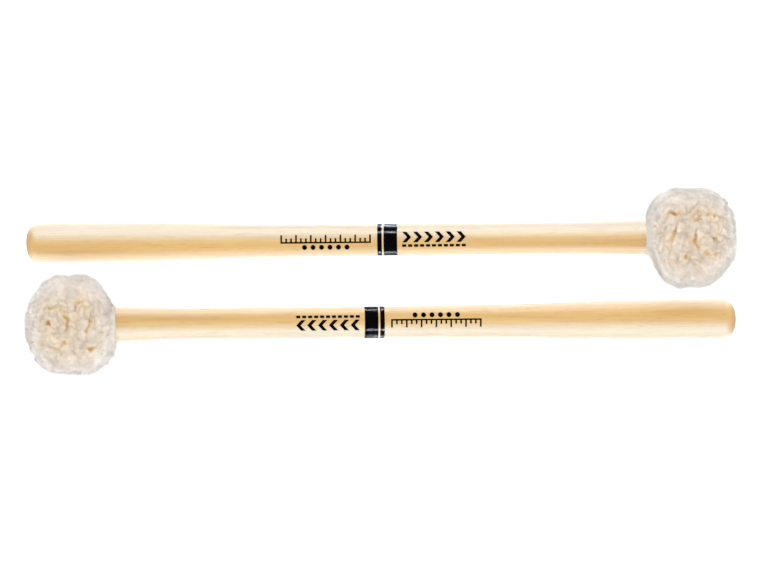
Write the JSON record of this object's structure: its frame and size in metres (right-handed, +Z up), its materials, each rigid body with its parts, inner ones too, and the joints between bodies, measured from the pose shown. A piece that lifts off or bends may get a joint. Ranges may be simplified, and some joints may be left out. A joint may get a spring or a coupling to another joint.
{
  "type": "drum mallet pair",
  "caption": "Soft drum mallets laid head to tail: turned hickory shafts with printed black bands and round fleece heads tied over hard felt cores.",
  "frame": {"origin": "midway between the two mallets, on the plane they lie on", "axes": "+X along the shafts, towards the head of mallet_1; +Y towards mallet_1; +Z up. mallet_2 is mallet_1 turned half round about Z"},
  "size_m": [0.3616, 0.094, 0.0516],
  "materials": {
    "hickory": "clear satin lacquer over straight grain",
    "black_ink": "glossy printed black",
    "hard_felt": "pressed wool felt",
    "wood_glue": "set glue",
    "backing_cloth": "plain knitted cloth",
    "waxed_thread": "waxed polyester thread",
    "fleece": "curly cream wool pile"
  },
  "bodies": {
    "mallet_1": {"mallet_1_shaft": "hickory", "mallet_1_narrow_band": "black_ink", "mallet_1_wide_band": "black_ink", "mallet_1_grip_gauge": "black_ink", "mallet_1_arrow_mark": "black_ink", "mallet_1_head_core": "hard_felt", "mallet_1_glue_line": "wood_glue", "mallet_1_cover_backing": "backing_cloth", "mallet_1_tie_thread": "waxed_thread", "mallet_1_tie_knot": "waxed_thread", "mallet_1_cover_pile": "fleece"},
    "mallet_2": {"mallet_2_shaft": "hickory", "mallet_2_narrow_band": "black_ink", "mallet_2_wide_band": "black_ink", "mallet_2_grip_gauge": "black_ink", "mallet_2_arrow_mark": "black_ink", "mallet_2_head_core": "hard_felt", "mallet_2_glue_line": "wood_glue", "mallet_2_cover_backing": "backing_cloth", "mallet_2_tie_thread": "waxed_thread", "mallet_2_tie_knot": "waxed_thread", "mallet_2_cover_pile": "fleece"}
  },
  "joints": [
    {"name": "mallet_2_lift", "type": "slide", "parent": "mallet_1", "child": "mallet_2", "axis": [0, 0, 1], "range_m": [0, 0.12]}
  ]
}
